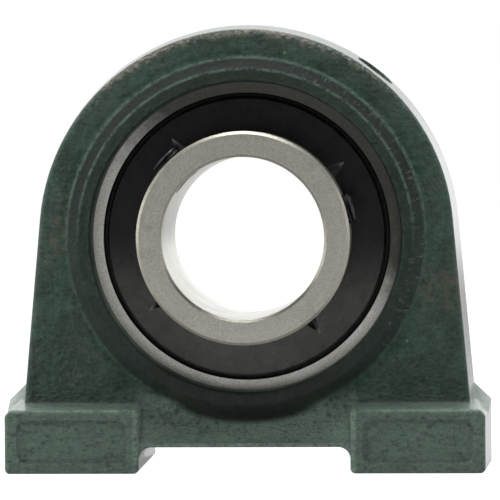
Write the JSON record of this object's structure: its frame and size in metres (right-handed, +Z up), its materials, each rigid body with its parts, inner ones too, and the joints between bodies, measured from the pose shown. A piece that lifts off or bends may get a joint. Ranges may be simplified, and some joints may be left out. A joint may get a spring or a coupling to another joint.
{
  "type": "pillow block bearing",
  "caption": "Self-aligning shaft bearing: a ball bearing insert with a wide inner ring and set screws, in a cast housing with a tapped base and an arched top.",
  "frame": {"origin": "on the shaft axis, at the centre of the spherical seat", "axes": "+X along the base, +Y along the shaft away from the pictured face, where the set screws are, +Z up"},
  "size_m": [0.1218, 0.0587, 0.111],
  "materials": {
    "painted_casting": "dark green enamel over a rough sand casting",
    "ring_steel": "ground bearing steel",
    "ball_steel": "polished bearing steel",
    "cage_steel": "pressed sheet steel",
    "seal_steel": "pressed sheet steel",
    "seal_rubber": "black nitrile rubber",
    "black_slinger": "pressed steel with a satin black coat",
    "screw_steel": "blackened alloy steel"
  },
  "bodies": {
    "housing": {"housing": "painted_casting"},
    "outer_ring": {"outer_ring": "ring_steel", "seal_core_front": "seal_steel", "seal_core_rear": "seal_steel", "seal_lip_front": "seal_rubber", "seal_lip_rear": "seal_rubber"},
    "inner_ring": {"inner_ring": "ring_steel", "slinger_front": "black_slinger", "slinger_rear": "black_slinger"},
    "cage": {"cage_front": "cage_steel", "cage_rear": "cage_steel", "cage_rivets": "cage_steel"},
    "ball_1": {"ball_1": "ball_steel"},
    "ball_2": {"ball_2": "ball_steel"},
    "ball_3": {"ball_3": "ball_steel"},
    "ball_4": {"ball_4": "ball_steel"},
    "ball_5": {"ball_5": "ball_steel"},
    "ball_6": {"ball_6": "ball_steel"},
    "ball_7": {"ball_7": "ball_steel"},
    "ball_8": {"ball_8": "ball_steel"},
    "ball_9": {"ball_9": "ball_steel"},
    "set_screw_1": {"set_screw_1": "screw_steel"},
    "set_screw_2": {"set_screw_2": "screw_steel"}
  },
  "joints": [
    {"name": "self_align", "type": "hinge", "parent": "housing", "child": "outer_ring", "pos_m": [0, 0, 0], "axis": [0, 0, 1], "range_deg": [-2, 2]},
    {"name": "shaft_spin", "type": "hinge", "parent": "outer_ring", "child": "inner_ring", "pos_m": [0, 0, 0], "axis": [0, 1, 0], "continuous": true},
    {"name": "cage_spin", "type": "hinge", "parent": "outer_ring", "child": "cage", "pos_m": [0, 0, 0], "axis": [0, 1, 0], "continuous": true},
    {"name": "ball_1_roll", "type": "hinge", "parent": "cage", "child": "ball_1", "pos_m": [0, 0, 0.03], "axis": [0, 1, 0], "continuous": true},
    {"name": "ball_2_roll", "type": "hinge", "parent": "cage", "child": "ball_2", "pos_m": [-0.01928, 0, 0.02298], "axis": [0, 1, 0], "continuous": true},
    {"name": "ball_3_roll", "type": "hinge", "parent": "cage", "child": "ball_3", "pos_m": [-0.02954, 0, 0.00521], "axis": [0, 1, 0], "continuous": true},
    {"name": "ball_4_roll", "type": "hinge", "parent": "cage", "child": "ball_4", "pos_m": [-0.02598, 0, -0.015], "axis": [0, 1, 0], "continuous": true},
    {"name": "ball_5_roll", "type": "hinge", "parent": "cage", "child": "ball_5", "pos_m": [-0.01026, 0, -0.02819], "axis": [0, 1, 0], "continuous": true},
    {"name": "ball_6_roll", "type": "hinge", "parent": "cage", "child": "ball_6", "pos_m": [0.01026, 0, -0.02819], "axis": [0, 1, 0], "continuous": true},
    {"name": "ball_7_roll", "type": "hinge", "parent": "cage", "child": "ball_7", "pos_m": [0.02598, 0, -0.015], "axis": [0, 1, 0], "continuous": true},
    {"name": "ball_8_roll", "type": "hinge", "parent": "cage", "child": "ball_8", "pos_m": [0.02954, 0, 0.00521], "axis": [0, 1, 0], "continuous": true},
    {"name": "ball_9_roll", "type": "hinge", "parent": "cage", "child": "ball_9", "pos_m": [0.01928, 0, 0.02298], "axis": [0, 1, 0], "continuous": true},
    {"name": "set_screw_1_drive", "type": "slide", "parent": "inner_ring", "child": "set_screw_1", "axis": [0.7071, 0, -0.7071], "range_m": [-0.001, 0.0018]},
    {"name": "set_screw_2_drive", "type": "slide", "parent": "inner_ring", "child": "set_screw_2", "axis": [-0.9659, 0, -0.2588], "range_m": [-0.001, 0.0018]}
  ],
  "couplings": [
    {"joint": "cage_spin", "follows": "shaft_spin", "ratio": 0.4},
    {"joint": "ball_1_roll", "follows": "shaft_spin", "ratio": -2.4},
    {"joint": "ball_2_roll", "follows": "shaft_spin", "ratio": -2.4},
    {"joint": "ball_3_roll", "follows": "shaft_spin", "ratio": -2.4},
    {"joint": "ball_4_roll", "follows": "shaft_spin", "ratio": -2.4},
    {"joint": "ball_5_roll", "follows": "shaft_spin", "ratio": -2.4},
    {"joint": "ball_6_roll", "follows": "shaft_spin", "ratio": -2.4},
    {"joint": "ball_7_roll", "follows": "shaft_spin", "ratio": -2.4},
    {"joint": "ball_8_roll", "follows": "shaft_spin", "ratio": -2.4},
    {"joint": "ball_9_roll", "follows": "shaft_spin", "ratio": -2.4}
  ]
}
